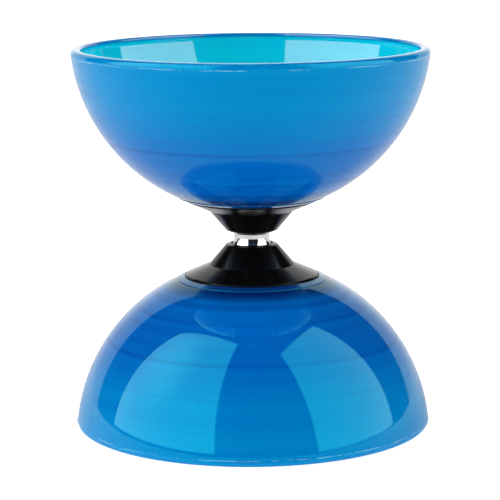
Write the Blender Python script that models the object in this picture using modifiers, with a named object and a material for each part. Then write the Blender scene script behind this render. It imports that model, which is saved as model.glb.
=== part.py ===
"""A bearing diabolo: a string-spun top made of two cups on one axle.

It stands on its lower cup's rim. Metres, +Z up along the spin axis, with the origin at the centre
of the plane that it stands on. Profiles are written in millimetres as (radius, height) points,
with height counted from the middle of the roller, and each half is a copy turned upside down.

The cups, hubs and axle turn as one. The roller that the string touches turns freely about them on
three ball bearings, each with a cage that carries its balls round.
"""
import math

import bmesh
import bpy
from mathutils import Matrix

MM = 0.001

# Overall size
RIM_RADIUS = 62.5           # widest point, on the moulding line round the rim
HALF_HEIGHT = 66.6          # from the middle of the roller to a rim

# Cup: a bowl that is part of a sphere, with a thick rounded lip
BOWL_RADIUS = 62.7
BOWL_CENTRE = 71.8          # height of the sphere's centre, beyond the rim
WALL = 3.35
LIP_ROUND = 1.75            # outer round of the lip
LIP_FLAT = 0.55             # width of the flat crest that it stands on
LIP_INNER_ROUND = 0.95
LIP_INNER_DEPTH = 1.3       # from the crest to where the inner round meets the bowl
MOULDING_LINE = 64.8        # height of the sharp line where the mould halves meet
MOULDING_STEP = 0.25        # how far that line stands out from the lip
COLLAR_OUTER = 26.1         # slightly raised collar of the cup round the hub's flange
COLLAR_START = 14.95        # height at which the bowl's outside ends at the collar
COLLAR_CREST = 13.72
COLLAR_CREST_RADIUS = 23.9
COLLAR_CHAMFER = 0.13
COLLAR_SLOPE = 0.43
SEAT_RADIUS = 23.65         # recess that the flange sits in
SEAT_HEIGHT = 14.75
FLOOR = 17.75               # flat floor inside the bowl
FLOOR_ROUND = 4.0
CUP_HOLE = 7.6

# Hub: a stepped cone with a flange
HUB_FACE = 2.05             # tip of the nose, its nearest point to the middle
SOCKET_RADIUS = 7.2         # counterbore that the roller's end turns in
SOCKET_DEPTH = 6.6
NOSE_TIP_RADIUS = 7.4
NOSE_EDGE = (8.72, 2.46)    # outer edge of the nose's sloping face
SHOULDER = (9.2, 2.78)      # where the rounded edge of the nose meets the steep cone
KINK = (14.9, 9.4)          # where the steep cone meets the shallow one
FLANGE_RADIUS = 23.3
FLANGE_TOP = 13.5
FLANGE_CHAMFER = 0.3
FLANGE_BACK = 14.7
SPIGOT_RADIUS = 7.5
SPIGOT_END = 17.7
WEB_HOLE = 4.0
INSERT_RADIUS = 5.5
INSERT_START = 8.55

# Roller and axle
WAIST_RADIUS = 6.15         # bottom of the shallow groove that the string runs in
GROOVE_EDGE = (6.35, 1.4)   # where the groove meets the curve up to the roller's shoulder
GROOVE_CURVE = (6.55, 1.65)
ROLLER_RADIUS = 6.9
ROLLER_SHOULDER = 2.0       # height at which the roller reaches its full radius
ROLLER_HALF_LENGTH = 6.1
ROLLER_CHAMFER = 0.25
AXLE_RADIUS = 2.47
AXLE_HALF_LENGTH = 28.5
AXLE_CHAMFER = 0.5
BORE_RADIUS = 2.52          # of the pieces that are threaded on the axle
SPACER_RADIUS = 3.4

# Inside the cup: clamping cap, washer, locking nut
CAP_RADIUS = 19.0
CAP_START = 17.8
CAP_TOP = 21.0
CAP_FOOT_CHAMFER = 0.4
CAP_TOP_CHAMFER = 1.6
WASHER_RADIUS = 5.0
WASHER_RECESS = 5.4         # radius of the recess in the cap that the washer sits in
WASHER_BORE = 2.65
WASHER_SEAT = 20.4
WASHER_THICKNESS = 1.0
NUT_START = 21.5
NUT_FLATS = 8.0             # across the flats
NUT_HEX_HEIGHT = 3.8
NUT_HEIGHT = 5.0
NUT_COLLAR_RADIUS = 3.7

# Ball bearings, 5 x 11 x 4 mm
BEARING_RADIUS = 5.5
BEARING_WIDTH = 4.0
RING_WIDTH = 3.96
PITCH_RADIUS = 4.0
SHOULDER_DEPTH = 0.55       # from the pitch circle to a ring's shoulder
BALL_RADIUS = 0.794
BALL_COUNT = 7
GROOVE_RADIUS = 0.874
CAGE_HALF_THICKNESS = 0.28
CAGE_BOTTOM = -1.25
CAGE_TOP = 0.35
POCKET_RADIUS = 0.9
SHIELD_INNER = 3.58
SHIELD_OUTER = 4.5
SHIELD_HEIGHT = 1.7
SHIELD_THICKNESS = 0.16

CLEARANCE = 0.04            # between pieces that meet

# Facets round the axis
CUP_STEPS = 44
HUB_STEPS = 40
CAP_STEPS = 32
SMALL_STEPS = 24

SHARP_ANGLE = math.radians(32)

FINISHES = {
    "blue_plastic": ((0.0, 0.24, 0.60), 0.16, 0.0),
    "black_plastic": ((0.012, 0.012, 0.013), 0.3, 0.0),
    "chrome": ((0.72, 0.72, 0.73), 0.08, 1.0),
    "steel": ((0.56, 0.56, 0.58), 0.28, 1.0),
    "brass": ((0.72, 0.53, 0.23), 0.3, 1.0),
    "nylon": ((0.75, 0.72, 0.62), 0.5, 0.0),
}


def clear_scene():
    for obj in list(bpy.data.objects):
        bpy.data.objects.remove(obj, do_unlink=True)


def new_collection(name):
    collection = bpy.data.collections.new(name)
    bpy.context.scene.collection.children.link(collection)
    return collection


clear_scene()
DIABOLO = new_collection("diabolo")
CUTTERS = new_collection("cutters")


def new_material(name, finish):
    """A Principled material for one piece."""
    colour, roughness, metallic = FINISHES[finish]
    material = bpy.data.materials.new(name)
    material.use_nodes = True
    shader = material.node_tree.nodes["Principled BSDF"]
    shader.inputs["Base Color"].default_value = (*colour, 1.0)
    shader.inputs["Roughness"].default_value = roughness
    shader.inputs["Metallic"].default_value = metallic
    return material


def place(obj, finish, height=0.0, flipped=False, parent=None):
    """Put a piece in the object's collection, on the spin axis, with its own material."""
    DIABOLO.objects.link(obj)
    obj.parent = parent
    base = 0.0 if parent else HALF_HEIGHT
    obj.location = (0.0, 0.0, (base + height) * MM)
    if flipped:
        obj.rotation_euler = (math.pi, 0.0, 0.0)
    material = new_material(obj.name, finish)
    if not obj.data.materials:
        obj.data.materials.append(None)
    obj.material_slots[0].link = 'OBJECT'
    obj.material_slots[0].material = material
    return obj


def shaded(mesh):
    mesh.shade_smooth()
    mesh.set_sharp_from_angle(angle=SHARP_ANGLE)
    return mesh


def evaluated_mesh(obj):
    """The mesh that an object's modifiers give, as a new mesh."""
    bpy.context.view_layer.update()
    graph = bpy.context.evaluated_depsgraph_get()
    return bpy.data.meshes.new_from_object(obj.evaluated_get(graph))


def arc(centre, radius, start, end, steps):
    """Points round a circle in the profile's plane, angles in degrees, both ends included."""
    points = []
    for i in range(steps + 1):
        angle = math.radians(start + (end - start) * i / steps)
        points.append((centre[0] + radius * math.cos(angle), centre[1] + radius * math.sin(angle)))
    return points


def turned_mesh(name, outline, steps):
    """A ring turned about Z from a closed outline that doesn't touch the axis."""
    pairs = list(zip(outline, outline[1:] + outline[:1]))
    area = sum(a[0] * b[1] - b[0] * a[1] for a, b in pairs)
    if area > 0:
        outline = outline[::-1]     # the outer side has to run downwards
    count = len(outline)
    profile = bpy.data.meshes.new(name + "_profile")
    profile.from_pydata([(r * MM, 0.0, z * MM) for r, z in outline],
                        [(i, (i + 1) % count) for i in range(count)], [])
    obj = bpy.data.objects.new(name + "_profile", profile)
    CUTTERS.objects.link(obj)
    screw = obj.modifiers.new("turn", 'SCREW')
    screw.axis = 'Z'
    screw.angle = 2 * math.pi
    screw.steps = steps
    screw.render_steps = steps
    screw.use_merge_vertices = True
    screw.merge_threshold = 0.000001
    mesh = evaluated_mesh(obj)
    bpy.data.objects.remove(obj)
    mesh.name = name
    return shaded(mesh)


def cylinder_mesh(name, radius, bottom, top, sides):
    """A plain cylinder or prism about Z."""
    bm = bmesh.new()
    middle = Matrix.Translation((0.0, 0.0, (bottom + top) / 2 * MM))
    bmesh.ops.create_cone(bm, cap_ends=True, segments=sides, radius1=radius * MM,
                          radius2=radius * MM, depth=(top - bottom) * MM, matrix=middle)
    mesh = bpy.data.meshes.new(name)
    bm.to_mesh(mesh)
    bm.free()
    return mesh


def cutter(mesh):
    """An object that only serves a Boolean."""
    obj = bpy.data.objects.new(mesh.name, mesh)
    CUTTERS.objects.link(obj)
    obj.hide_render = True
    obj.display_type = 'WIRE'
    return obj


def boolean(obj, other, operation):
    modifier = obj.modifiers.new(other.name, 'BOOLEAN')
    modifier.solver = 'EXACT'
    modifier.operation = operation
    modifier.object = other


def bowl_point_angle(height, radius):
    """Angle, from the sphere's centre, of the point of the bowl at that height."""
    return -math.degrees(math.asin((BOWL_CENTRE - height) / radius))


def cup_outline():
    centre = (0.0, BOWL_CENTRE)
    inner = BOWL_RADIUS - WALL
    lip_centre = (RIM_RADIUS - MOULDING_STEP - LIP_ROUND, HALF_HEIGHT - LIP_ROUND)
    crest_inner = (lip_centre[0] - LIP_FLAT, HALF_HEIGHT - LIP_INNER_ROUND)
    floor_centre_height = FLOOR + FLOOR_ROUND
    floor_centre_radius = math.sqrt((inner - FLOOR_ROUND) ** 2
                                    - (BOWL_CENTRE - floor_centre_height) ** 2)
    floor_angle = bowl_point_angle(floor_centre_height, inner - FLOOR_ROUND)

    lip = arc(lip_centre, LIP_ROUND, 90, 4, 3)
    moulding_line = [(RIM_RADIUS, MOULDING_LINE)]
    outside = arc(centre, BOWL_RADIUS,
                  bowl_point_angle(MOULDING_LINE - MOULDING_STEP, BOWL_RADIUS),
                  bowl_point_angle(COLLAR_START, BOWL_RADIUS), 8)
    collar_rise = COLLAR_SLOPE * (COLLAR_OUTER - COLLAR_CREST_RADIUS)
    collar = [(COLLAR_OUTER, COLLAR_CREST + collar_rise), (COLLAR_CREST_RADIUS, COLLAR_CREST),
              (SEAT_RADIUS, COLLAR_CREST + COLLAR_CHAMFER)]
    seat = [(SEAT_RADIUS, SEAT_HEIGHT), (CUP_HOLE, SEAT_HEIGHT)]
    floor = [(CUP_HOLE, FLOOR)] + arc((floor_centre_radius, floor_centre_height), FLOOR_ROUND,
                                      -90, floor_angle, 2)
    inside = arc(centre, inner, floor_angle,
                 bowl_point_angle(HALF_HEIGHT - LIP_INNER_DEPTH, inner), 7)[1:]
    lip_inside = arc(crest_inner, LIP_INNER_ROUND, 180, 90, 2)
    return lip + moulding_line + outside + collar + seat + floor + inside + lip_inside


def hub_outline():
    nose = [(SOCKET_RADIUS, HUB_FACE + 0.3), (NOSE_TIP_RADIUS, HUB_FACE), NOSE_EDGE, SHOULDER]
    cones = [KINK, (FLANGE_RADIUS - FLANGE_CHAMFER, FLANGE_TOP - FLANGE_CHAMFER),
             (FLANGE_RADIUS, FLANGE_TOP)]
    back = [(FLANGE_RADIUS, FLANGE_BACK), (SPIGOT_RADIUS, FLANGE_BACK),
            (SPIGOT_RADIUS, SPIGOT_END), (INSERT_RADIUS + CLEARANCE, SPIGOT_END)]
    bore = [(INSERT_RADIUS + CLEARANCE, INSERT_START - CLEARANCE),
            (WEB_HOLE, INSERT_START - CLEARANCE), (WEB_HOLE, SOCKET_DEPTH),
            (SOCKET_RADIUS, SOCKET_DEPTH)]
    return nose + cones + back + bore


def roller_outline():
    bore = BEARING_RADIUS + CLEARANCE
    end = ROLLER_HALF_LENGTH
    half = [GROOVE_EDGE, GROOVE_CURVE, (ROLLER_RADIUS, ROLLER_SHOULDER),
            (ROLLER_RADIUS, end - ROLLER_CHAMFER), (ROLLER_RADIUS - ROLLER_CHAMFER, end),
            (bore, end)]
    mirrored = [(r, -z) for r, z in half]
    return half[::-1] + [(WAIST_RADIUS, 0.0)] + mirrored


def ring_box(inner, outer, bottom, top):
    """Outline of a plain ring."""
    return [(inner, bottom), (outer, bottom), (outer, top), (inner, top)]


def cap_outline():
    return [(BORE_RADIUS, CAP_START), (CAP_RADIUS - CAP_FOOT_CHAMFER, CAP_START),
            (CAP_RADIUS, CAP_START + CAP_FOOT_CHAMFER), (CAP_RADIUS, CAP_TOP - CAP_TOP_CHAMFER),
            (CAP_RADIUS - CAP_TOP_CHAMFER, CAP_TOP), (WASHER_RECESS, CAP_TOP),
            (WASHER_RECESS, WASHER_SEAT), (BORE_RADIUS, WASHER_SEAT)]


def race_outline(side):
    """A bearing ring: side is -1 for the inner ring and 1 for the outer one."""
    half = RING_WIDTH / 2
    back = BORE_RADIUS if side < 0 else BEARING_RADIUS
    shoulder = PITCH_RADIUS + side * SHOULDER_DEPTH
    reach = math.degrees(math.acos(SHOULDER_DEPTH / GROOVE_RADIUS))
    middle = 180 if side < 0 else 0
    groove = arc((PITCH_RADIUS, 0.0), GROOVE_RADIUS, middle - reach, middle + reach, 4)
    if side < 0:
        groove = groove[::-1]
    return [(back, half), (back, -half), (shoulder, -half)] + groove + [(shoulder, half)]


def nut_mesh(name):
    """A locking nut: a hexagon with a round collar, and a plain bore."""
    nut = cutter(cylinder_mesh("nut_hexagon", NUT_FLATS / 2 / math.cos(math.pi / 6),
                               0.0, NUT_HEX_HEIGHT, 6))
    collar = cutter(cylinder_mesh("nut_collar", NUT_COLLAR_RADIUS, NUT_HEX_HEIGHT - 0.5,
                                  NUT_HEIGHT, SMALL_STEPS))
    bore = cutter(cylinder_mesh("nut_bore", BORE_RADIUS, -1.0, NUT_HEIGHT + 1.0, SMALL_STEPS))
    boolean(nut, collar, 'UNION')
    boolean(nut, bore, 'DIFFERENCE')
    mesh = evaluated_mesh(nut)
    mesh.name = name
    bpy.data.objects.remove(nut)
    return shaded(mesh)


def axle_mesh(name):
    """The threaded axle, plain here, with chamfered ends."""
    mesh = cylinder_mesh(name, AXLE_RADIUS, -AXLE_HALF_LENGTH, AXLE_HALF_LENGTH, SMALL_STEPS)
    bm = bmesh.new()
    bm.from_mesh(mesh)
    rim = [e for e in bm.edges if abs(e.verts[0].co.z - e.verts[1].co.z) < MM / 100]
    bmesh.ops.bevel(bm, geom=rim, offset=AXLE_CHAMFER * MM, segments=1, affect='EDGES')
    bm.to_mesh(mesh)
    bm.free()
    return shaded(mesh)


def cage_mesh(name):
    """A crown cage: a ring with a pocket for each ball, open on its upper side."""
    ring = turned_mesh("cage_ring", ring_box(PITCH_RADIUS - CAGE_HALF_THICKNESS,
                                             PITCH_RADIUS + CAGE_HALF_THICKNESS,
                                             CAGE_BOTTOM, CAGE_TOP), SMALL_STEPS)
    bm = bmesh.new()
    for i in range(BALL_COUNT):
        turn = Matrix.Rotation(ball_angle(i), 4, 'Z')
        outwards = Matrix.Translation((PITCH_RADIUS * MM, 0.0, 0.0)) @ Matrix.Rotation(
            math.pi / 2, 4, 'Y')
        bmesh.ops.create_cone(bm, cap_ends=True, segments=12, radius1=POCKET_RADIUS * MM,
                              radius2=POCKET_RADIUS * MM, depth=1.2 * MM, matrix=turn @ outwards)
    pockets = bpy.data.meshes.new("cage_pockets")
    bm.to_mesh(pockets)
    bm.free()
    cage = cutter(ring)
    boolean(cage, cutter(pockets), 'DIFFERENCE')
    mesh = evaluated_mesh(cage)
    mesh.name = name
    bpy.data.objects.remove(cage)
    return shaded(mesh)


def ball_angle(i):
    """Place of a ball round the pitch circle, in radians."""
    return 2 * math.pi * i / BALL_COUNT


def ball_mesh(name):
    bm = bmesh.new()
    bmesh.ops.create_icosphere(bm, subdivisions=2, radius=BALL_RADIUS * MM)
    mesh = bpy.data.meshes.new(name)
    bm.to_mesh(mesh)
    bm.free()
    mesh.shade_smooth()
    return mesh


def axis_empty(name, height=0.0):
    """An empty on the spin axis, which the moving pieces hang from."""
    empty = bpy.data.objects.new(name, None)
    DIABOLO.objects.link(empty)
    empty.location = (0.0, 0.0, (HALF_HEIGHT + height) * MM)
    return empty


def build_halves():
    """The cups, hubs and clamping pieces, each above the roller and again below it."""
    insert = ring_box(BORE_RADIUS, INSERT_RADIUS, INSERT_START, SPIGOT_END - CLEARANCE)
    spacer = ring_box(BORE_RADIUS, SPACER_RADIUS, 1.5 * BEARING_WIDTH + CLEARANCE,
                      INSERT_START - CLEARANCE)
    washer = ring_box(WASHER_BORE, WASHER_RADIUS, WASHER_SEAT + CLEARANCE,
                      WASHER_SEAT + CLEARANCE + WASHER_THICKNESS)
    nut = nut_mesh("nut")
    turned = {
        "cup": (turned_mesh("cup", cup_outline(), CUP_STEPS), "blue_plastic"),
        "hub": (turned_mesh("hub", hub_outline(), HUB_STEPS), "black_plastic"),
        "inner_cap": (turned_mesh("inner_cap", cap_outline(), CAP_STEPS), "black_plastic"),
        "hub_insert": (turned_mesh("hub_insert", insert, SMALL_STEPS), "brass"),
        "spacer": (turned_mesh("spacer", spacer, SMALL_STEPS), "steel"),
        "washer": (turned_mesh("washer", washer, SMALL_STEPS), "steel"),
    }
    for side, flipped in (("upper", False), ("lower", True)):
        for piece, (mesh, finish) in turned.items():
            place(bpy.data.objects.new(f"{piece}_{side}", mesh), finish, flipped=flipped)
        direction = -1 if flipped else 1
        place(bpy.data.objects.new(f"nut_{side}", nut), "steel", direction * NUT_START, flipped)


def build_axle_and_roller():
    place(bpy.data.objects.new("axle", axle_mesh("axle")), "steel")
    roller = axis_empty("roller_axis")
    mesh = turned_mesh("roller_sleeve", roller_outline(), SMALL_STEPS)
    place(bpy.data.objects.new("roller_sleeve", mesh), "chrome", parent=roller)
    return roller


def build_bearings(roller):
    """Three bearings side by side between the axle and the roller."""
    inner_ring = turned_mesh("inner_ring", race_outline(-1), SMALL_STEPS)
    outer_ring = turned_mesh("outer_ring", race_outline(1), SMALL_STEPS)
    shield = turned_mesh("shield", ring_box(SHIELD_INNER, SHIELD_OUTER, SHIELD_HEIGHT,
                                            SHIELD_HEIGHT + SHIELD_THICKNESS), SMALL_STEPS)
    cage = cage_mesh("cage")
    ball = ball_mesh("ball")
    for name, order in (("upper", 1), ("middle", 0), ("lower", -1)):
        bearing = f"bearing_{name}"
        height = order * BEARING_WIDTH
        place(bpy.data.objects.new(f"{bearing}_inner_ring", inner_ring), "steel", height)
        place(bpy.data.objects.new(f"{bearing}_outer_ring", outer_ring), "steel", height,
              parent=roller)
        place(bpy.data.objects.new(f"{bearing}_top_shield", shield), "steel", height,
              parent=roller)
        place(bpy.data.objects.new(f"{bearing}_bottom_shield", shield), "steel", height,
              flipped=True, parent=roller)
        carrier = axis_empty(f"{bearing}_cage_axis", height)
        place(bpy.data.objects.new(f"{bearing}_cage", cage), "nylon", parent=carrier)
        for i in range(BALL_COUNT):
            obj = place(bpy.data.objects.new(f"{bearing}_ball_{i + 1}", ball), "steel",
                        parent=carrier)
            obj.location.x = PITCH_RADIUS * MM * math.cos(ball_angle(i))
            obj.location.y = PITCH_RADIUS * MM * math.sin(ball_angle(i))


build_halves()
build_bearings(build_axle_and_roller())
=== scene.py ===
"""Looks of a bearing diabolo: two glossy blue cups on black hubs, with a chrome roller between.

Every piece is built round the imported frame. Profiles are in millimetres as (radius, height) points,
with height counted from the middle of the roller, and each half is a copy turned upside down.
"""
import math

import bmesh
import bpy
import numpy as np
from mathutils import Matrix, Quaternion, Vector


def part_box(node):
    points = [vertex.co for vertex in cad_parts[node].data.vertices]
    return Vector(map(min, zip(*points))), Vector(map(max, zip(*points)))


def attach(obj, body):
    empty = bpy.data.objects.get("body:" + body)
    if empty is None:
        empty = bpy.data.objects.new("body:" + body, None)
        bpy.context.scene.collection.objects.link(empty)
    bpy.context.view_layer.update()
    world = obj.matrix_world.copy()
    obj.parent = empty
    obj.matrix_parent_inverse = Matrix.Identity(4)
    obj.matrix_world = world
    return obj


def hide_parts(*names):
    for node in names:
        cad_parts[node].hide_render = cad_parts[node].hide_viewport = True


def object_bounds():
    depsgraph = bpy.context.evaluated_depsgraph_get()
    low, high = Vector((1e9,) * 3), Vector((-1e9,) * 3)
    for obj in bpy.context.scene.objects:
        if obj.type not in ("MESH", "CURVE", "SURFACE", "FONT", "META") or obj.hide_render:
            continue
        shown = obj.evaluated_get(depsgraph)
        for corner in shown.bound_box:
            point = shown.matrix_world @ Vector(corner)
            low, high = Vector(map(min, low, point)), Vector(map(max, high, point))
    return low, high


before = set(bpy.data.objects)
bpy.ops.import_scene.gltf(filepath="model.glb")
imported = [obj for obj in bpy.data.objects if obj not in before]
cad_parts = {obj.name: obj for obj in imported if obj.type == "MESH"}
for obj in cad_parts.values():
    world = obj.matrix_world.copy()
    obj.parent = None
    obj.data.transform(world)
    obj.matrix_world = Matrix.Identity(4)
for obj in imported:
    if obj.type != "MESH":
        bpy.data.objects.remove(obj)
CAD_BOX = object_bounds()

MM = 0.001
MIDDLE = (CAD_BOX[0].z + CAD_BOX[1].z) / 2
HALVES = (("upper", 1), ("lower", -1))


def extent(node):
    """Outer radius of a CAD node, and its lowest and highest point above the middle, in mm."""
    low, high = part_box(node)
    return (high.x - low.x) / 2 / MM, (low.z - MIDDLE) / MM, (high.z - MIDDLE) / MM


# Sizes read from the frame
RIM_RADIUS, COLLAR_CREST, HALF_HEIGHT = extent("cup_upper")
FLANGE_RADIUS, HUB_FACE, SPIGOT_END = extent("hub_upper")
INSERT_RADIUS, INSERT_START, INSERT_END = extent("hub_insert_upper")
CAP_RADIUS, CAP_START, CAP_TOP = extent("inner_cap_upper")
WASHER_RADIUS, WASHER_START, WASHER_END = extent("washer_upper")
NUT_CORNER_RADIUS, NUT_START, NUT_END = extent("nut_upper")
SPACER_RADIUS, SPACER_START, SPACER_END = extent("spacer_upper")
AXLE_RADIUS, _, AXLE_END = extent("axle")
ROLLER_RADIUS, _, ROLLER_END = extent("roller_sleeve")
BEARING_RADIUS, _, RING_HALF_WIDTH = extent("bearing_middle_outer_ring")
BEARING_PITCH = extent("bearing_upper_outer_ring")[2] - RING_HALF_WIDTH

FIT = 0.04                  # gap between pieces that touch

# Cup
BOWL_RADIUS = 62.7
BOWL_CENTRE = 71.8          # height of the centre of the bowl's sphere
WALL = 3.35
LIP_ROUND = 1.75
LIP_FLAT = 0.8              # width of the lip's crest
LIP_INNER_ROUND = 0.95
LIP_INNER_DEPTH = 2.2       # from the crest down to the bowl's spherical inside
MOULDING_LINE = 64.8        # height of the little step where the mould's parts met
MOULDING_STEP = 0.25
MOULDING_WAVES = ((7, 1), (17, 2), (31, 4))     # waves round the rim and phases, which break it
FLASH_HIGHLIGHT_LINE = 64.3           # height of the ragged painted highlight along the step
COLLAR_OUTER = 26.1         # outer radius of the raised collar round the hub
COLLAR_SLOPE = 0.38
COLLAR_CREST_RADIUS = 23.9
GROOVE_WIDTH = 0.3          # fine groove round the collar
GROOVE_DEPTH = 0.05
SEAT_RADIUS = 23.65         # recess that holds the hub's flange
SEAT_HEIGHT = 14.75
FLOOR = 17.75               # inside of the bowl's bottom
FLOOR_ROUND = 4.0
CUP_HOLE = 7.6

# Hub
SOCKET_RADIUS = 7.2         # counterbore that takes the roller's end
SOCKET_DEPTH = 6.6
NOSE_TIP_RADIUS = 7.4
NOSE_EDGE = (9.0, 2.55)
KINK = (14.9, 9.55)         # where the steep cone meets the flange's shallow one
FLANGE_TOP = 13.5
FLANGE_CHAMFER = 0.45
FLANGE_BACK = 14.7
SPIGOT_RADIUS = 7.5
WEB_HOLE = 4.0
KNURLS = 36                 # grooves round a hub's insert
KNURL_DEPTH = 0.12

# Roller, axle and bearings
WAIST_RADIUS = 6.15
GROOVE_EDGE = (6.35, 1.4)   # edge of the groove for the string
ROLLER_SHOULDER = 2.6       # height where the roller reaches its full radius
BORE_RADIUS = 2.52          # of every piece that slides on to the axle
THREAD_PITCH = 0.8
THREAD_DEPTH = 0.42
THREAD_LENGTH = 11.0
THREAD_RUN_OUT = 0.4
PITCH_RADIUS = 4.0          # of the circle that the balls' centres are on
BALL_RADIUS = 0.794
BALL_COUNT = 7
GROOVE_RADIUS = 0.874
RACE_SHOULDER = 0.55        # from the pitch circle to a ring's shoulder
SHIELD_RADII = (3.58, 4.5)
CAGE_HALF_WALL = 0.28
CAGE_HEIGHTS = (-1.25, 0.35)
POCKET_RADIUS = 0.9
POCKET_REACH = 1.2

# Segments of a rounded corner, and segments round the axis
ROUND_STEPS = 5
CUP_STEPS = 240
HUB_STEPS = 192
INSERT_STEPS = 144
SMALL_STEPS = 96


# ---- Shapes -------------------------------------------------------------------------------------

def arc(centre, radius, start, end, steps):
    """Points round a circle in the profile's plane, angles in degrees, both ends included."""
    angles = [math.radians(start + (end - start) * i / steps) for i in range(steps + 1)]
    return [(centre[0] + radius * math.cos(a), centre[1] + radius * math.sin(a)) for a in angles]


def rounded(corners):
    """A closed outline from (radius, height, rounding) corners; a rounding of 0 stays sharp."""
    points = []
    for i, (r, z, rounding) in enumerate(corners):
        here = Vector((r, z))
        if not rounding:
            points.append((r, z))
            continue
        before = (Vector(corners[i - 1][:2]) - here).normalized()
        after = (Vector(corners[(i + 1) % len(corners)][:2]) - here).normalized()
        half = before.angle(after) / 2
        centre = here + (before + after).normalized() * rounding / math.sin(half)
        start = (here + before * rounding / math.tan(half) - centre).normalized()
        end = (here + after * rounding / math.tan(half) - centre).normalized()
        points += [tuple(centre + start.slerp(end, k / ROUND_STEPS) * rounding)
                   for k in range(ROUND_STEPS + 1)]
    return points


def sharp(points):
    """Outline points as corners without a rounding."""
    return [(r, z, 0) for r, z in points]


def turned_mesh(name, outline, steps, radius_at=None, solid=False):
    """A mesh turned about Z from a closed outline, or from an open one whose ends are capped.

    radius_at(radius, height, angle) may vary the radius round the axis.
    """
    outline = np.array(outline, float)
    following = np.roll(outline, -1, axis=0)
    area = np.sum(outline[:, 0] * following[:, 1] - following[:, 0] * outline[:, 1])
    if area < 0:
        outline = outline[::-1]
    radius, height = outline[:, :1], outline[:, 1:]
    angle = np.linspace(0, 2 * math.pi, steps, endpoint=False)[None, :]
    if radius_at:
        radius = radius_at(radius, height, angle)
    points = np.stack(np.broadcast_arrays(radius * np.cos(angle), radius * np.sin(angle),
                                          height), axis=-1).reshape(-1, 3) * MM
    count = len(outline)
    row, column = np.meshgrid(np.arange(count - solid), np.arange(steps), indexing="ij")
    next_row, next_column = (row + 1) % count, (column + 1) % steps
    faces = np.stack([row * steps + column, row * steps + next_column,
                      next_row * steps + next_column, next_row * steps + column], axis=-1)
    faces = faces.reshape(-1, 4).tolist()
    if solid:
        last = (count - 1) * steps
        faces += [list(range(steps))[::-1], list(range(last, last + steps))]
    mesh = bpy.data.meshes.new(name)
    mesh.from_pydata(points.tolist(), [], faces)
    mesh.shade_smooth()
    return mesh


def place(name, mesh, material, body, height=0.0, flipped=False, nodes=None):
    """Add a piece on the spin axis, in place of the CAD node of the same name."""
    obj = bpy.data.objects.new(name, mesh)
    bpy.context.scene.collection.objects.link(obj)
    obj.location.z = MIDDLE + height * MM
    if flipped:
        obj.rotation_euler.x = math.pi
    if not mesh.materials:
        mesh.materials.append(material)
    normals = obj.modifiers.new("normals", 'WEIGHTED_NORMAL')
    normals.keep_sharp = True
    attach(obj, body)
    if nodes is None:
        nodes = [name]
    if nodes:
        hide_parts(*nodes)
    return obj


def bowl_angle(height, radius):
    """Angle, from the bowl's centre, of its point at that height."""
    return -math.degrees(math.asin((BOWL_CENTRE - height) / radius))


def bowl_height(radius):
    """Height of the bowl's outside at that radius."""
    return BOWL_CENTRE - math.sqrt(BOWL_RADIUS ** 2 - radius ** 2)


def cup_outline():
    centre = (0.0, BOWL_CENTRE)
    inner = BOWL_RADIUS - WALL
    lip_centre = (RIM_RADIUS - MOULDING_STEP - LIP_ROUND, HALF_HEIGHT - LIP_ROUND)
    crest_inner = (lip_centre[0] - LIP_FLAT, HALF_HEIGHT - LIP_INNER_ROUND)
    floor_centre_height = FLOOR + FLOOR_ROUND
    floor_centre_radius = math.sqrt((inner - FLOOR_ROUND) ** 2
                                    - (BOWL_CENTRE - floor_centre_height) ** 2)
    floor_angle = bowl_angle(floor_centre_height, inner - FLOOR_ROUND)
    collar_edge = COLLAR_CREST + COLLAR_SLOPE * (COLLAR_OUTER - COLLAR_CREST_RADIUS)
    groove_start = bowl_height(COLLAR_OUTER + GROOVE_WIDTH)
    groove_bottom = groove_start + GROOVE_DEPTH

    lip = arc(lip_centre, LIP_ROUND, 90, 5, 16)
    line = [(RIM_RADIUS - 0.12, MOULDING_LINE + 0.05), (RIM_RADIUS, MOULDING_LINE),
            (RIM_RADIUS - 0.1, MOULDING_LINE - 0.06)]
    outside = arc(centre, BOWL_RADIUS, bowl_angle(MOULDING_LINE - MOULDING_STEP, BOWL_RADIUS),
                  bowl_angle(groove_start, BOWL_RADIUS), 90)
    collar = [(COLLAR_OUTER + GROOVE_WIDTH * 0.7, groove_bottom, 0.03),
              (COLLAR_OUTER, groove_bottom, 0.03), (COLLAR_OUTER, collar_edge, 0.06),
              (COLLAR_CREST_RADIUS, COLLAR_CREST, 0.1), (SEAT_RADIUS, COLLAR_CREST + 0.13, 0.05)]
    seat = [(SEAT_RADIUS, SEAT_HEIGHT, 0.1), (CUP_HOLE, SEAT_HEIGHT, 0.1), (CUP_HOLE, FLOOR, 0.1)]
    floor = arc((floor_centre_radius, floor_centre_height), FLOOR_ROUND, -90, floor_angle, 12)
    inside = arc(centre, inner, floor_angle, bowl_angle(HALF_HEIGHT - LIP_INNER_DEPTH, inner),
                 70)[1:]
    lip_inside = arc(crest_inner, LIP_INNER_ROUND, 180, 90, 10)
    return rounded(sharp(lip + line + outside) + collar + seat
                   + sharp(floor + inside + lip_inside))


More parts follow.
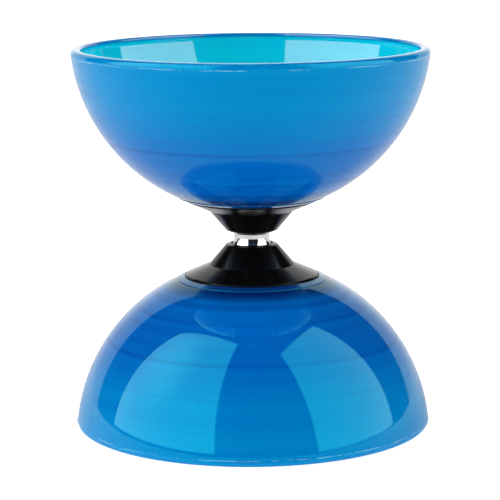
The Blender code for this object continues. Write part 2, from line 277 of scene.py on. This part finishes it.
def hub_outline():
    nose = [(SOCKET_RADIUS, HUB_FACE + 0.3, 0.05), (NOSE_TIP_RADIUS, HUB_FACE, 0.12),
            (*NOSE_EDGE, 1.0)]
    cones = [(*KINK, 0.2), (FLANGE_RADIUS - FLANGE_CHAMFER, FLANGE_TOP - FLANGE_CHAMFER, 0.06),
             (FLANGE_RADIUS, FLANGE_TOP, 0.06)]
    back = [(FLANGE_RADIUS, FLANGE_BACK, 0.1), (SPIGOT_RADIUS, FLANGE_BACK, 0.2),
            (SPIGOT_RADIUS, SPIGOT_END, 0.2), (INSERT_RADIUS + FIT, SPIGOT_END, 0.1)]
    bore = [(INSERT_RADIUS + FIT, INSERT_START - FIT, 0.1), (WEB_HOLE, INSERT_START - FIT, 0.1),
            (WEB_HOLE, SOCKET_DEPTH, 0.1), (SOCKET_RADIUS, SOCKET_DEPTH, 0.3)]
    return rounded(nose + cones + back + bore)


def roller_outline():
    bore = BEARING_RADIUS + FIT
    half = [(*GROOVE_EDGE, 0.5), (ROLLER_RADIUS, ROLLER_SHOULDER, 0.3),
            (ROLLER_RADIUS, ROLLER_END, 0.3), (bore, ROLLER_END, 0.15)]
    mirrored = [(r, -z, rounding) for r, z, rounding in half]
    return rounded(half[::-1] + [(WAIST_RADIUS, 0.0, 0.4)] + mirrored)


def ring_outline(inner, outer, bottom, top, rounding):
    return rounded([(inner, bottom, rounding), (outer, bottom, rounding),
                    (outer, top, rounding), (inner, top, rounding)])


def cap_outline():
    """The clamping cap: a dished disc with a bevelled edge, two ridges and the washer's recess."""
    recess = WASHER_RADIUS + 0.4
    seat = WASHER_START - FIT
    dish = CAP_TOP - 0.5
    chamfer = 0.4
    bevel = 1.6
    return rounded([
        (BORE_RADIUS, CAP_START, 0.1), (CAP_RADIUS - chamfer, CAP_START, 0.15),
        (CAP_RADIUS, CAP_START + chamfer, 0.15), (CAP_RADIUS, CAP_TOP - bevel, 0.4),
        (CAP_RADIUS - bevel, CAP_TOP, 0.6), (CAP_RADIUS - 2.9, CAP_TOP, 0.3),
        (CAP_RADIUS - 3.5, dish, 0.4), (recess + 4.2, dish, 0.3), (recess + 3.6, CAP_TOP, 0.25),
        (recess, CAP_TOP, 0.2), (recess, seat, 0.1), (BORE_RADIUS, seat, 0.1)])


def race_outline(side):
    """A bearing ring: side is -1 for the inner ring and 1 for the outer one."""
    half = RING_HALF_WIDTH
    back = BORE_RADIUS if side < 0 else BEARING_RADIUS
    shoulder = PITCH_RADIUS + side * RACE_SHOULDER
    reach = math.degrees(math.acos(RACE_SHOULDER / GROOVE_RADIUS))
    middle = 180 if side < 0 else 0
    groove = arc((PITCH_RADIUS, 0.0), GROOVE_RADIUS, middle - reach, middle + reach, 16)
    if side < 0:
        groove = groove[::-1]
    return rounded([(back, half, 0.2), (back, -half, 0.2), (shoulder, -half, 0.08)]
                   + sharp(groove) + [(shoulder, half, 0.08)])


def nut_mesh(name):
    """A locking nut: a hexagon with chamfered corners, and a collar turned in over its nylon."""
    across = NUT_CORNER_RADIUS * math.cos(math.pi / 6)
    height = NUT_END - NUT_START
    hexagon = height - 1.2
    bite = across - 0.15
    collar = 3.7
    lip = 3.05
    drop = (NUT_CORNER_RADIUS - bite) * math.tan(math.radians(30))

    def radius_at(radius, _, angle):
        """Cut the outline's corner radius back to the hexagon's flat sides."""
        sector = (angle + math.pi / 6) % (math.pi / 3) - math.pi / 6
        side = across / np.cos(sector)
        return np.where(radius > bite, np.minimum(radius, side), radius)

    outline = rounded([
        (BORE_RADIUS, 0.0, 0.3), (bite, 0.0, 0.1), (NUT_CORNER_RADIUS, drop, 0.05),
        (NUT_CORNER_RADIUS, hexagon - drop, 0.05), (bite, hexagon, 0.1), (collar, hexagon, 0.3),
        (collar, height, 0.35), (lip, height, 0.1), (lip, height - 0.25, 0.1),
        (3.3, height - 0.25, 0.0), (3.3, hexagon, 0.0), (BORE_RADIUS, hexagon, 0.0)])
    mesh = turned_mesh(name, outline, SMALL_STEPS, radius_at)
    mesh.set_sharp_from_angle(angle=math.radians(25))
    return mesh


def axle_mesh(name):
    """The axle, with a rolled thread on each end and chamfered tips."""
    fine = THREAD_PITCH / 12
    count = round((THREAD_LENGTH + THREAD_RUN_OUT) / fine)
    thread = [(AXLE_RADIUS, AXLE_END - THREAD_LENGTH - THREAD_RUN_OUT + i * fine)
              for i in range(count + 1)]
    half = thread + [(AXLE_RADIUS - THREAD_DEPTH - 0.1, AXLE_END)]

    def radius_at(radius, level, angle):
        beyond = np.abs(level) - (AXLE_END - THREAD_LENGTH)
        turn = (level / THREAD_PITCH - angle / (2 * math.pi)) % 1.0
        depth = THREAD_DEPTH * np.clip(1.25 - 2.5 * np.abs(turn - 0.5), 0, 1)
        cut = depth * np.clip(beyond / THREAD_PITCH, 0, 1)
        chamfer = np.clip(np.abs(level) - (AXLE_END - 0.5), 0, None)
        threaded = np.minimum(radius - cut, AXLE_RADIUS - chamfer)
        return np.where(radius > AXLE_RADIUS - 0.01, threaded, radius)

    outline = [(r, -z) for r, z in half[::-1]] + half
    return turned_mesh(name, outline, SMALL_STEPS, radius_at, solid=True)


def moulded(radius, _, angle):
    """The cup's moulding line, worn away here and there round the rim."""
    worn = 0.5 + 0.22 * sum(np.sin(waves * angle + phase) for waves, phase in MOULDING_WAVES)
    line = np.clip((radius - RIM_RADIUS + MOULDING_STEP) / MOULDING_STEP, 0, 1)
    return radius - line * MOULDING_STEP * 0.8 * np.clip(worn, 0, 1)


def ball_mesh(name):
    bm = bmesh.new()
    bmesh.ops.create_icosphere(bm, subdivisions=4, radius=BALL_RADIUS * MM)
    mesh = bpy.data.meshes.new(name)
    bm.to_mesh(mesh)
    bm.free()
    mesh.shade_smooth()
    return mesh


def cage_mesh(name):
    """A crown cage: a ring with a round pocket for each ball, open on its upper side."""
    outline = ring_outline(PITCH_RADIUS - CAGE_HALF_WALL, PITCH_RADIUS + CAGE_HALF_WALL,
                           *CAGE_HEIGHTS, 0.08)
    ring = turned_mesh("cage_ring", outline, SMALL_STEPS)
    bm = bmesh.new()
    for i in range(BALL_COUNT):
        turn = Matrix.Rotation(2 * math.pi * i / BALL_COUNT, 4, 'Z')
        outwards = Matrix.Translation((PITCH_RADIUS * MM, 0.0, 0.0)) @ Matrix.Rotation(
            math.pi / 2, 4, 'Y')
        bmesh.ops.create_cone(bm, cap_ends=True, segments=32, radius1=POCKET_RADIUS * MM,
                              radius2=POCKET_RADIUS * MM, depth=POCKET_REACH * MM,
                              matrix=turn @ outwards)
    pockets = bpy.data.meshes.new("cage_pockets")
    bm.to_mesh(pockets)
    bm.free()
    cage = bpy.data.objects.new("cage", ring)
    cutter = bpy.data.objects.new("cage_cutter", pockets)
    for obj in (cage, cutter):
        bpy.context.scene.collection.objects.link(obj)
    cut = cage.modifiers.new("pockets", 'BOOLEAN')
    cut.solver = 'EXACT'
    cut.object = cutter
    bpy.context.view_layer.update()
    mesh = bpy.data.meshes.new_from_object(
        cage.evaluated_get(bpy.context.evaluated_depsgraph_get()))
    mesh.name = name
    for obj in (cage, cutter):
        bpy.data.objects.remove(obj)
    mesh.shade_smooth()
    mesh.set_sharp_from_angle(angle=math.radians(30))
    return mesh


# ---- Materials ----------------------------------------------------------------------------------

# painted shade on the collar, where the black hub takes the light out of the plastic
COLLAR_SHADE_BLUE = (0.0, 0.035, 0.21)
# painted shade by the black hub
HUB_SHADE_BLUE = (0.0, 0.009, 0.11)
MIDDLE_BLUE = (0.0, 0.126, 0.47)
# painted glow towards the rim
RIM_GLOW_BLUE = (0.0, 0.23, 0.54)
# painted glow on the inside of the bowl
INSIDE_GLOW_BLUE = (0.0, 0.66, 0.83)
# painted reflections: the dark and the pale streaks round the cup
DARK_REFLECTION_BLUE = (0.0, 0.04, 0.3)
PALE_REFLECTION_BLUE = (0.0, 0.17, 0.58)
# painted highlight along the moulding line
FLASH_HIGHLIGHT_BLUE = (0.5, 0.75, 0.85)
GLOSS_BLUE = (0.03, 0.87, 0.78)             # tint of the reflections on the cup's outside
PALE_SPECK = (0.3, 0.62, 0.8)
DARK_SPECK = (0.0, 0.03, 0.12)
BLACKS = (0.0008, 0.0008, 0.001), (0.002, 0.002, 0.0022)
DUST = (0.35, 0.35, 0.36)
NYLON_WHITES = (0.68, 0.65, 0.55), (0.8, 0.78, 0.7)
PAPER_WHITES = (0.7, 0.7, 0.7), (0.72, 0.72, 0.72)
WHITE = (1.0, 1.0, 1.0)

HUB_SHADE_RADII = (25.5, 36.0)               # where the painted shade by the hub starts and stops fading
RIM_GLOW_RADII = (49.0, 62.0)               # where the painted glow towards the rim starts and is complete
# Painted reflections, as dark and pale streaks round the cup: height, and strength from 0 to 1
DARK_REFLECTION_STREAKS = ((19.2, 0.45), (23.6, 0.5), (26.8, 0.3), (31.0, 0.2), (35.2, 0.5), (39.6, 0.15),
                (45.7, 0.15), (53.2, 0.1), (56.0, 0.1))
PALE_REFLECTION_STREAKS = ((17.7, 0.45), (20.4, 0.45), (24.8, 0.4), (29.0, 0.15), (33.2, 0.2), (36.6, 0.25))
STREAK_HALF_WIDTHS = (0.1, 0.95)            # of a streak's core, and to the end of its fading
STREAK_WANDER = 0.9                         # how far a streak bends up and down
FLASH_HIGHLIGHT_HALF_WIDTHS = (0.06, 0.18)
FLASH_HIGHLIGHT_WANDER = 0.4
FLASH_HIGHLIGHT_STRENGTH = 0.42
INSIDE_GLOW_FADE = (2.0, 0.8)                    # depths below the crest where the inside's painted glow fades


def add(tree, kind, inputs=None, **settings):
    """A node with its settings, and each input given a value or a socket to link to."""
    node = tree.nodes.new("ShaderNode" + kind)
    for key, value in settings.items():
        setattr(node, key, value)
    for key, value in (inputs or {}).items():
        if isinstance(value, bpy.types.NodeSocket):
            tree.links.new(value, node.inputs[key])
        else:
            node.inputs[key].default_value = value
    return node.outputs


def calc(tree, operation, a, b=0.0):
    return add(tree, "Math", {0: a, 1: b}, operation=operation)[0]


def remap(tree, value, low, high, to_low=0.0, to_high=1.0):
    """A smooth step between two results, while a value goes from low to high."""
    return add(tree, "MapRange", {"Value": value, "From Min": low, "From Max": high,
                                  "To Min": to_low, "To Max": to_high},
               interpolation_type='SMOOTHSTEP')["Result"]


def blend_colour(tree, factor, a, b):
    """Colour a where the factor is 0, and b where it is 1."""
    node = tree.nodes.new("ShaderNodeMix")
    node.data_type = 'RGBA'
    for socket, value in zip([node.inputs[0], node.inputs[6], node.inputs[7]], (factor, a, b)):
        if isinstance(value, bpy.types.NodeSocket):
            tree.links.new(value, socket)
        else:
            socket.default_value = value if socket == node.inputs[0] else (*value, 1.0)
    return node.outputs[2]


def length(tree, a, b):
    return calc(tree, 'SQRT', calc(tree, 'ADD', calc(tree, 'MULTIPLY', a, a),
                                   calc(tree, 'MULTIPLY', b, b)))


def noise(tree, vector, scale, detail=2.0, roughness=0.5):
    return add(tree, "TexNoise", {"Vector": vector, "Scale": scale, "Detail": detail,
                                  "Roughness": roughness})["Fac"]


def stretched(tree, vector, factors):
    """Coordinates scaled along each axis, to draw a texture out into streaks."""
    return add(tree, "Mapping", {"Vector": vector, "Scale": factors})["Vector"]


def new_material(name, roughness, metallic=0.0, **constants):
    """A material with its shader, its node tree and the piece's own coordinates in metres."""
    material = bpy.data.materials.new(name)
    material.use_nodes = True
    tree = material.node_tree
    shader = tree.nodes["Principled BSDF"]
    shader.inputs["Roughness"].default_value = roughness
    shader.inputs["Metallic"].default_value = metallic
    for socket, value in constants.items():
        shader.inputs[socket.replace("_", " ")].default_value = value
    return material, tree, shader, add(tree, "TexCoord")["Object"]


def connect(tree, shader, colour, roughness=None, normal=None):
    for socket, value in (("Base Color", colour), ("Roughness", roughness), ("Normal", normal)):
        if value is not None:
            tree.links.new(value, shader.inputs[socket])


def bump(tree, height, distance):
    """A bump whose height of 1 stands for that distance in mm."""
    return add(tree, "Bump", {"Height": height, "Distance": distance * MM,
                              "Strength": 1.0})["Normal"]


def specks(tree, coords, per_metre, size, share):
    """Sparse round specks of dust: 1 on a speck and 0 elsewhere."""
    cell = add(tree, "TexVoronoi", {"Vector": coords, "Scale": per_metre, "Randomness": 1.0})
    chosen = calc(tree, 'LESS_THAN', add(tree, "SeparateColor", {0: cell["Color"]})[0], share)
    near = remap(tree, cell["Distance"], size * 0.6, size, 1.0, 0.0)
    return calc(tree, 'MULTIPLY', chosen, near)


def bent(tree, z, coords, per_metre, wander):
    """A height in metres that wanders by up to that many mm, so that level lines bend."""
    return calc(tree, 'ADD', z, calc(tree, 'MULTIPLY', noise(tree, coords, per_metre),
                                     wander * MM))


def line_at(tree, level, height, half_widths, strength):
    """A soft line round the cup at that height in mm, where level is a height in metres."""
    away = calc(tree, 'ABSOLUTE', calc(tree, 'SUBTRACT', level, height * MM))
    return remap(tree, away, half_widths[0] * MM, half_widths[1] * MM, strength, 0.0)


def cup_plastic():
    """Glossy blue plastic that light soaks into.

    It has painted shade by the black hub, which takes the light out of it, and a painted glow
    towards the rim and on the inside of the bowl. Painted reflections run round it as faint dark
    and pale streaks, a ragged painted highlight follows the moulding line, and a few specks are
    scattered over it.
    """
    material, tree, shader, coords = new_material(
        "cup_plastic", 0.03, IOR=1.5, Subsurface_Weight=0.8, Subsurface_Radius=(0.05, 1.0, 0.6),
        Subsurface_Scale=0.004, Specular_IOR_Level=1.0)
    x, y, z = add(tree, "SeparateXYZ", {0: coords})
    across = length(tree, x, y)
    from_centre = length(tree, across, calc(tree, 'SUBTRACT', z, BOWL_CENTRE * MM))
    # painted shade by the hub
    hub_shade = remap(tree, across, *(radius * MM for radius in HUB_SHADE_RADII))
    colour = blend_colour(tree, hub_shade, HUB_SHADE_BLUE, MIDDLE_BLUE)
    # painted glow towards the rim
    rim_glow = remap(tree, across, *(radius * MM for radius in RIM_GLOW_RADII))
    colour = blend_colour(tree, rim_glow, colour, RIM_GLOW_BLUE)
    # painted shade on the collar
    collar = remap(tree, across, COLLAR_OUTER * MM, (COLLAR_OUTER + GROOVE_WIDTH) * MM, 1.0, 0.0)
    colour = blend_colour(tree, collar, colour, COLLAR_SHADE_BLUE)
    # painted glow on the inside of the bowl, fading below the crest
    wall_middle = (BOWL_RADIUS - WALL / 2) * MM
    within = remap(tree, from_centre, wall_middle - MM, wall_middle, 1.0, 0.0)
    fade = remap(tree, z, *((HALF_HEIGHT - depth) * MM for depth in INSIDE_GLOW_FADE), 1.0, 0.0)
    inside = calc(tree, 'MULTIPLY', within, fade)
    colour = blend_colour(tree, inside, colour, INSIDE_GLOW_BLUE)

    rings = noise(tree, stretched(tree, coords, (5.0, 5.0, 230.0)), 1.0, detail=3.0,
                  roughness=0.6)
    level = bent(tree, z, coords, 12.0, STREAK_WANDER)
    patches = noise(tree, stretched(tree, coords, (14.0, 14.0, 60.0)), 1.0)
    shown = calc(tree, 'MULTIPLY', remap(tree, inside, 0.0, 1.0, 1.0, 0.3),
                 remap(tree, patches, 0.3, 0.6, 0.45))
    # painted reflections: dark and pale streaks round the cup
    for streaks, streak_colour in ((DARK_REFLECTION_STREAKS, DARK_REFLECTION_BLUE), (PALE_REFLECTION_STREAKS, PALE_REFLECTION_BLUE)):
        total = remap(tree, rings, 0.35, 0.6, 0.12, 0.0)
        for height, strength in streaks:
            streak = line_at(tree, level, height + STREAK_WANDER / 2, STREAK_HALF_WIDTHS,
                             strength)
            total = calc(tree, 'MAXIMUM', total, streak)
        colour = blend_colour(tree, calc(tree, 'MULTIPLY', total, shown), colour, streak_colour)

    # painted highlight along the moulding line
    ragged = remap(tree, noise(tree, coords, 60.0, detail=5.0, roughness=0.85), 0.42, 0.56)
    line = line_at(tree, bent(tree, z, coords, 200.0, FLASH_HIGHLIGHT_WANDER),
                   FLASH_HIGHLIGHT_LINE + FLASH_HIGHLIGHT_WANDER / 2, FLASH_HIGHLIGHT_HALF_WIDTHS, FLASH_HIGHLIGHT_STRENGTH)
    flash_highlight = calc(tree, 'MULTIPLY', line, ragged)
    flash_highlight = calc(tree, 'MULTIPLY', flash_highlight, remap(tree, inside, 0.0, 0.1, 1.0, 0.0))
    colour = blend_colour(tree, flash_highlight, colour, FLASH_HIGHLIGHT_BLUE)

    light = specks(tree, coords, per_metre=160.0, size=0.035, share=0.2)
    dark = specks(tree, stretched(tree, coords, (1.0, 1.0, -1.0)), per_metre=110.0, size=0.03,
                  share=0.12)
    colour = blend_colour(tree, calc(tree, 'MULTIPLY', light, 0.4), colour, PALE_SPECK)
    colour = blend_colour(tree, calc(tree, 'MULTIPLY', dark, 0.7), colour, DARK_SPECK)
    smears = noise(tree, coords, 90.0, detail=4.0, roughness=0.6)
    rough = remap(tree, smears, 0.3, 0.7, 0.02, 0.045)
    connect(tree, shader, colour, rough, bump(tree, rings, 0.006))
    tint = blend_colour(tree, within, GLOSS_BLUE, WHITE)
    tree.links.new(tint, shader.inputs["Specular Tint"])
    return material


def black_plastic():
    """Satin black plastic, evenly grained, with pale dust."""
    material, tree, shader, coords = new_material(
        "black_plastic", 0.17, IOR=1.5, Specular_IOR_Level=0.26)
    grain = noise(tree, coords, 1800.0, detail=3.0, roughness=0.6)
    clouds = noise(tree, coords, 60.0, detail=3.0)
    colour = blend_colour(tree, clouds, *BLACKS)
    dust = specks(tree, coords, per_metre=300.0, size=0.06, share=0.18)
    colour = blend_colour(tree, calc(tree, 'MULTIPLY', dust, 0.6), colour, DUST)
    smears = noise(tree, coords, 140.0, detail=4.0, roughness=0.6)
    rough = remap(tree, smears, 0.3, 0.7, 0.14, 0.21)
    connect(tree, shader, colour, rough, bump(tree, grain, 0.001))
    return material


def turned_metal(name, dark, light, roughness, line_depth):
    """Metal with the fine rings that turning or grinding leaves, and a little tarnish."""
    material, tree, shader, coords = new_material(name, roughness, metallic=1.0)
    rings = noise(tree, stretched(tree, coords, (40.0, 40.0, 2200.0)), 1.0, detail=3.0,
                  roughness=0.7)
    stain = noise(tree, coords, 220.0, detail=4.0, roughness=0.6)
    colour = blend_colour(tree, remap(tree, stain, 0.3, 0.7), dark, light)
    rough = remap(tree, stain, 0.25, 0.75, roughness * 0.75, roughness * 1.35)
    connect(tree, shader, colour, rough, bump(tree, rings, line_depth))
    return material


def nylon():
    """Milky moulded nylon."""
    material, tree, shader, coords = new_material(
        "nylon", 0.45, Subsurface_Weight=0.6, Subsurface_Radius=(1.0, 0.9, 0.7),
        Subsurface_Scale=0.0008)
    clouds = noise(tree, coords, 700.0, detail=3.0)
    colour = blend_colour(tree, clouds, *NYLON_WHITES)
    rough = remap(tree, clouds, 0.3, 0.7, 0.38, 0.52)
    connect(tree, shader, colour, rough, bump(tree, clouds, 0.004))
    return material


CUP = cup_plastic()
BLACK = black_plastic()
CHROME = turned_metal("chrome", (0.74, 0.75, 0.76), (0.84, 0.85, 0.86),
                      roughness=0.05, line_depth=0.0002)
ZINC = turned_metal("zinc_plate", (0.52, 0.53, 0.55), (0.68, 0.69, 0.71),
                    roughness=0.24, line_depth=0.002)
BEARING = turned_metal("bearing_steel", (0.55, 0.55, 0.56), (0.66, 0.66, 0.67),
                       roughness=0.16, line_depth=0.001)
BRASS = turned_metal("brass", (0.66, 0.47, 0.19), (0.8, 0.6, 0.28),
                     roughness=0.27, line_depth=0.002)
NYLON = nylon()


# ---- Pieces -------------------------------------------------------------------------------------

def knurled(radius, _, angle):
    """Shallow grooves round an insert's outside, which grip the plastic."""
    grooves = KNURL_DEPTH * np.abs(np.sin(KNURLS / 2 * angle))
    return radius - grooves * (radius > INSERT_RADIUS - 0.3)


def build_halves():
    insert = ring_outline(BORE_RADIUS, INSERT_RADIUS, INSERT_START, INSERT_END, 0.2)
    spacer = ring_outline(BORE_RADIUS, SPACER_RADIUS, SPACER_START, SPACER_END, 0.15)
    washer = ring_outline(2.65, WASHER_RADIUS, WASHER_START, WASHER_END, 0.2)
    nylon_ring = ring_outline(AXLE_RADIUS + 0.02, 3.2, NUT_END - 1.1, NUT_END - 0.3, 0.12)
    pieces = {
        "cup": (turned_mesh("cup", cup_outline(), CUP_STEPS, moulded), CUP, "cup_blue"),
        "hub": (turned_mesh("hub", hub_outline(), HUB_STEPS), BLACK, "hub_black"),
        "inner_cap": (turned_mesh("inner_cap", cap_outline(), HUB_STEPS), BLACK, "hub_black"),
        "hub_insert": (turned_mesh("hub_insert", insert, INSERT_STEPS, knurled), BRASS,
                       "insert_brass"),
        "spacer": (turned_mesh("spacer", spacer, SMALL_STEPS), ZINC, "fastener_steel"),
        "washer": (turned_mesh("washer", washer, SMALL_STEPS), ZINC, "fastener_steel"),
    }
    nut = nut_mesh("nut")
    ring = turned_mesh("nut_nylon", nylon_ring, SMALL_STEPS)
    for side, direction in HALVES:
        flipped = direction < 0
        for piece, (mesh, material, slot) in pieces.items():
            place(f"{piece}_{side}", mesh, material, "axle_assembly", flipped=flipped)
        place(f"nut_{side}", nut, ZINC, "axle_assembly",
              direction * NUT_START, flipped)
        place(f"nut_nylon_{side}", ring, NYLON, "axle_assembly",
              flipped=flipped, nodes=[])


def build_axle_and_roller():
    place("axle", axle_mesh("axle"), ZINC, "axle_assembly")
    place("roller_sleeve", turned_mesh("roller_sleeve", roller_outline(), HUB_STEPS), CHROME,
          "roller")


def build_bearings():
    inner_ring = turned_mesh("inner_ring", race_outline(-1), SMALL_STEPS)
    outer_ring = turned_mesh("outer_ring", race_outline(1), SMALL_STEPS)
    low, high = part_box("bearing_middle_top_shield")
    top = (high.z - MIDDLE) / MM
    bottom = (low.z - MIDDLE) / MM
    shield = turned_mesh("shield", ring_outline(*SHIELD_RADII, bottom, top, 0.05), SMALL_STEPS)
    cage = cage_mesh("cage")
    ball = ball_mesh("ball")
    for name, order in (("upper", 1), ("middle", 0), ("lower", -1)):
        bearing = f"bearing_{name}"
        height = order * BEARING_PITCH
        place(f"{bearing}_inner_ring", inner_ring, BEARING, "axle_assembly",
              height)
        place(f"{bearing}_outer_ring", outer_ring, BEARING, "roller", height)
        place(f"{bearing}_top_shield", shield, BEARING, "roller", height)
        place(f"{bearing}_bottom_shield", shield, BEARING, "roller", height,
              flipped=True)
        place(f"{bearing}_cage", cage, NYLON, f"{name}_cage", height)
        for i in range(BALL_COUNT):
            node = f"{bearing}_ball_{i + 1}"
            obj = place(node, ball, BEARING, f"{name}_cage", height)
            low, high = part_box(node)
            obj.location.xy = ((low + high) / 2).xy


build_halves()
build_axle_and_roller()
build_bearings()


# ---- Studio -------------------------------------------------------------------------------------

# Directions are azimuths and elevations in degrees. Azimuth is 0 towards the camera, and grows
# towards +X.
LEFT_SOFTBOX = {"sides": (-102.0, -24.2), "leans": (-0.06, -0.06), "bottom": 1.5,
                "peak": (-39.2, 73.0)}
RIGHT_SOFTBOX = {"sides": (41.8, 102.5), "leans": (-0.06, 0.1), "bottom": 0.5,
                 "peak": (65.1, 66.2)}
LEFT_STRENGTH = 2.35
RIGHT_STRENGTH = 2.1
LAMP = (-80.0, 42.0)                # the bulb that shows through the left softbox
LAMP_RADII = (6.0, 28.0)
LAMP_STRENGTH = 1.1
BACKDROP_EDGES = (126.2, 127.5)     # left and right, at elevation 0
BACKDROP_LEANS = (0.5, 0.72)
BACKDROP_FADE = (148.0, 178.0)      # from its dimmer sides to its bright middle
BACKDROP_STRENGTHS = (0.65, 1.3)
ROOM_STRENGTH = 0.02
SEEN_STRENGTH = 1.2                 # of the white behind the object in the picture
SOFTNESS = 0.5                      # half the width of an edge's fade
PAPER_GLOW = 0.65
PAPER_GLOW_SEEN = 0.15              # added in the picture
PAPER_GLOW_MIRRORED = -0.52         # added in reflections
PAPER_SIZE = 8.0
PAPER_GAP = 0.0001


def softbox(tree, azimuth, elevation, sides, leans, bottom, peak):
    """A lit rectangle of the studio, by direction.

    Each side leans by its share of the elevation. The straight top edge is an arc whose highest
    point is the peak.
    """
    past_left, past_right = (
        calc(tree, 'SUBTRACT', azimuth,
             calc(tree, 'ADD', calc(tree, 'MULTIPLY', elevation, lean), side))
        for side, lean in zip(sides, leans))
    left = remap(tree, past_left, -SOFTNESS, SOFTNESS)
    right = remap(tree, past_right, -SOFTNESS, SOFTNESS, 1.0, 0.0)
    foot = remap(tree, elevation, bottom - SOFTNESS, bottom + SOFTNESS)
    along = calc(tree, 'RADIANS', calc(tree, 'SUBTRACT', azimuth, peak[0]))
    rise = calc(tree, 'MULTIPLY', calc(tree, 'COSINE', along), math.tan(math.radians(peak[1])))
    top = calc(tree, 'DEGREES', calc(tree, 'ARCTANGENT', rise))
    head = remap(tree, calc(tree, 'SUBTRACT', elevation, top), -SOFTNESS, SOFTNESS, 1.0, 0.0)
    return calc(tree, 'MULTIPLY', calc(tree, 'MULTIPLY', left, right),
                calc(tree, 'MULTIPLY', foot, head))


def backdrop_light(tree, azimuth, elevation):
    """The white backdrop behind the object, whose sides lean, and which is brightest behind it."""
    aside = calc(tree, 'ABSOLUTE', azimuth)
    foot = remap(tree, azimuth, -1.0, 1.0, *BACKDROP_EDGES)
    lean = remap(tree, azimuth, -1.0, 1.0, *BACKDROP_LEANS)
    edge = calc(tree, 'ADD', foot, calc(tree, 'MULTIPLY', elevation, lean))
    shown = remap(tree, calc(tree, 'SUBTRACT', aside, edge), -1.0, 1.0)
    return calc(tree, 'MULTIPLY', shown, remap(tree, aside, *BACKDROP_FADE, *BACKDROP_STRENGTHS))


def build_world():
    """A dark room with two softboxes at the sides and a white backdrop, given by direction."""
    world = bpy.data.worlds.new("studio")
    bpy.context.scene.world = world
    world.use_nodes = True
    tree = world.node_tree
    direction = add(tree, "TexCoord")["Generated"]
    x, y, z = add(tree, "SeparateXYZ", {0: direction})
    azimuth = calc(tree, 'DEGREES', calc(tree, 'ARCTAN2', x, calc(tree, 'MULTIPLY', y, -1.0)))
    elevation = calc(tree, 'DEGREES', calc(tree, 'ARCSINE', z))
    left = calc(tree, 'MULTIPLY', softbox(tree, azimuth, elevation, **LEFT_SOFTBOX), LEFT_STRENGTH)
    right = calc(tree, 'MULTIPLY', softbox(tree, azimuth, elevation, **RIGHT_SOFTBOX),
                 RIGHT_STRENGTH)
    from_lamp = length(tree, calc(tree, 'SUBTRACT', azimuth, LAMP[0]),
                       calc(tree, 'SUBTRACT', elevation, LAMP[1]))
    lit = calc(tree, 'ADD', left, right)
    for light in (remap(tree, from_lamp, *LAMP_RADII, LAMP_STRENGTH, 0.0),
                  backdrop_light(tree, azimuth, elevation), ROOM_STRENGTH):
        lit = calc(tree, 'ADD', lit, light)
    seen = add(tree, "LightPath")["Is Camera Ray"]
    strength = calc(tree, 'ADD', calc(tree, 'MULTIPLY', lit, calc(tree, 'SUBTRACT', 1.0, seen)),
                    calc(tree, 'MULTIPLY', seen, SEEN_STRENGTH))
    tree.links.new(strength, tree.nodes["Background"].inputs["Strength"])
    tree.nodes["Background"].inputs["Color"].default_value = (*WHITE, 1.0)


def build_floor():
    mesh = bpy.data.meshes.new("floor")
    corners = [(x * PAPER_SIZE, y * PAPER_SIZE, 0) for x, y in ((-1, -1), (1, -1), (1, 1), (-1, 1))]
    mesh.from_pydata(corners, [], [(0, 1, 2, 3)])
    floor = bpy.data.objects.new("floor", mesh)
    bpy.context.scene.collection.objects.link(floor)
    floor.location.z = CAD_BOX[0].z - PAPER_GAP
    material, tree, shader, coords = new_material("floor_paper", 0.7)
    grain = noise(tree, coords, 300.0, detail=3.0)
    connect(tree, shader, blend_colour(tree, grain, *PAPER_WHITES))
    ray = add(tree, "LightPath")
    glow = calc(tree, 'ADD', calc(tree, 'MULTIPLY', ray["Is Camera Ray"], PAPER_GLOW_SEEN),
                calc(tree, 'MULTIPLY', ray["Is Glossy Ray"], PAPER_GLOW_MIRRORED))
    tree.links.new(calc(tree, 'ADD', glow, PAPER_GLOW), shader.inputs["Emission Strength"])
    shader.inputs["Emission Color"].default_value = (*WHITE, 1.0)
    mesh.materials.append(material)


CAMERA_DISTANCE = 0.777
CAMERA_ELEVATION = math.radians(9.92)
CAMERA_ROLL = math.radians(0.384)
LENS = 159.2
SENSOR_WIDTH = 36.0
LENS_SHIFT = (-0.0036, -0.02745)


def build_camera():
    data = bpy.data.cameras.new("camera")
    data.lens = LENS
    data.sensor_width = SENSOR_WIDTH
    data.shift_x, data.shift_y = LENS_SHIFT
    camera = bpy.data.objects.new("camera", data)
    bpy.context.scene.collection.objects.link(camera)
    back = Vector((0.0, -math.cos(CAMERA_ELEVATION), math.sin(CAMERA_ELEVATION)))
    camera.location = Vector((0.0, 0.0, MIDDLE)) + back * CAMERA_DISTANCE
    camera.rotation_mode = 'QUATERNION'
    camera.rotation_quaternion = ((-back).to_track_quat('-Z', 'Y')
                                  @ Quaternion((0.0, 0.0, 1.0), -CAMERA_ROLL))
    bpy.context.scene.camera = camera


build_world()
build_floor()
build_camera()
bpy.context.scene.view_settings.view_transform = 'Standard'
